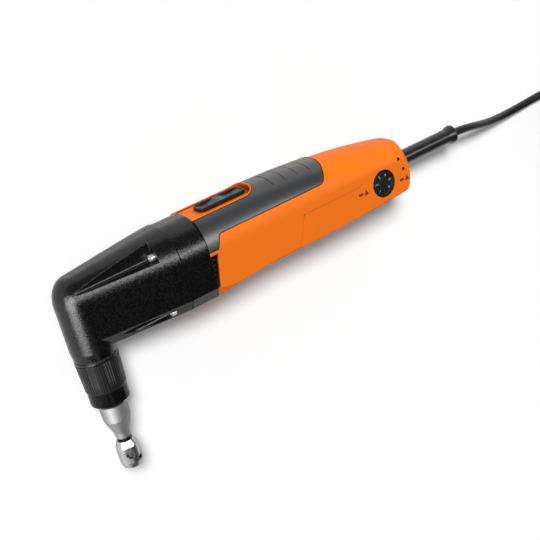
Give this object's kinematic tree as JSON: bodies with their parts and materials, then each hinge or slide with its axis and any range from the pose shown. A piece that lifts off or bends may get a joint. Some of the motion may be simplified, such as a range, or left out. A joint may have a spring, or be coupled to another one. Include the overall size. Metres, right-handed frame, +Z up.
{
  "type": "angle-head nibbler",
  "caption": "Mains-powered hand nibbler for sheet metal: long flat-sided motor grip, angled gear head, swivelling punch-and-die nozzle, slide switch, speed dial and coiled cord.",
  "frame": {"origin": "on the bench, under the middle of the tool's box without its cord; the tool lies on its flat side", "axes": "+X along the motor from the cutting head to the cord, +Y from the die to the switch, +Z up from the bench"},
  "size_m": [0.69, 0.1859, 0.058],
  "materials": {
    "black_coat": "black powder coat, fine grain",
    "orange_plastic": "satin moulded plastic",
    "grip_rubber": "soft matt rubber",
    "collar_black": "black oxide, semi-gloss",
    "carrier_steel": "satin turned steel",
    "die_steel": "polished tool steel",
    "bright_steel": "bright steel",
    "bronze": "bearing bronze",
    "laminations": "stacked sheet",
    "copper": "enamelled copper",
    "inner_plastic": "moulded plastic",
    "carbon": "pressed carbon",
    "switch_black": "fine-textured plastic",
    "dial_black": "satin plastic",
    "cord_rubber": "smooth rubber",
    "tie_strap": "woven strap",
    "pin_brass": "nickel-plated brass"
  },
  "bodies": {
    "tool_body": {"gear_housing": "black_coat", "vent_ring": "black_coat", "motor_housing": "orange_plastic", "grip_sleeve": "grip_rubber", "gear_screws": "bright_steel", "eccentric_bearings": "bright_steel", "front_bearing": "bright_steel", "rear_bearing": "bright_steel", "clamp_screws": "bright_steel", "brush_springs": "bright_steel", "plunger_guide": "bronze", "layshaft_bushes": "bronze", "brush_holders": "bronze", "stator_core": "laminations", "stator_windings": "copper", "bearing_bridge": "inner_plastic", "switch_block": "inner_plastic", "speed_control": "inner_plastic", "cord_clamp": "inner_plastic", "carbon_brushes": "carbon", "cord_boot": "cord_rubber", "cord_tail": "cord_rubber", "cord_lead": "cord_rubber", "cord_coil": "cord_rubber", "plug_body": "cord_rubber", "cord_tie": "tie_strap", "plug_pins": "pin_brass"},
    "rotor": {"rotor_shaft": "bright_steel", "rotor_core": "laminations", "rotor_windings": "copper", "commutator": "copper", "cooling_fan": "inner_plastic"},
    "intermediate": {"layshaft": "bright_steel", "layshaft_gear": "bright_steel"},
    "eccentric": {"eccentric_shaft": "bright_steel", "eccentric_roller": "bright_steel", "eccentric_gear": "bright_steel"},
    "ram": {"plunger": "bright_steel", "punch": "die_steel", "punch_screw": "bright_steel"},
    "collar": {"clamp_collar": "collar_black"},
    "die_head": {"die_carrier": "carrier_steel", "punch_guide": "die_steel", "die": "die_steel"},
    "switch": {"switch_slider": "switch_black", "switch_rod": "inner_plastic"},
    "dial": {"speed_dial": "dial_black", "dial_shaft": "dial_black"}
  },
  "joints": [
    {"name": "rotor_spin", "type": "hinge", "parent": "tool_body", "child": "rotor", "pos_m": [0.01325, 0.0487, 0.029], "axis": [1, 0, 0], "continuous": true},
    {"name": "layshaft_spin", "type": "hinge", "parent": "tool_body", "child": "intermediate", "pos_m": [-0.09675, 0.0631, 0.029], "axis": [1, 0, 0], "continuous": true},
    {"name": "eccentric_spin", "type": "hinge", "parent": "tool_body", "child": "eccentric", "pos_m": [-0.12675, 0.0487, 0.029], "axis": [1, 0, 0], "continuous": true},
    {"name": "plunger_stroke", "type": "slide", "parent": "tool_body", "child": "ram", "axis": [0, 1, 0], "range_m": [-0.0025, 0.0025]},
    {"name": "collar_turn", "type": "hinge", "parent": "tool_body", "child": "collar", "pos_m": [-0.14675, -0.0113, 0.029], "axis": [0, 1, 0], "range_deg": [0, 180]},
    {"name": "die_swivel", "type": "hinge", "parent": "tool_body", "child": "die_head", "pos_m": [-0.14675, -0.0413, 0.029], "axis": [0, 1, 0], "continuous": true},
    {"name": "switch_slide", "type": "slide", "parent": "tool_body", "child": "switch", "axis": [-1, 0, 0], "range_m": [0, 0.007]},
    {"name": "dial_turn", "type": "hinge", "parent": "tool_body", "child": "dial", "pos_m": [0.12425, 0.0448, 0.0536], "axis": [0, 0, 1], "range_deg": [-150, 150]}
  ],
  "couplings": [
    {"joint": "layshaft_spin", "follows": "rotor_spin", "ratio": -0.26316},
    {"joint": "eccentric_spin", "follows": "rotor_spin", "ratio": 0.087719}
  ]
}
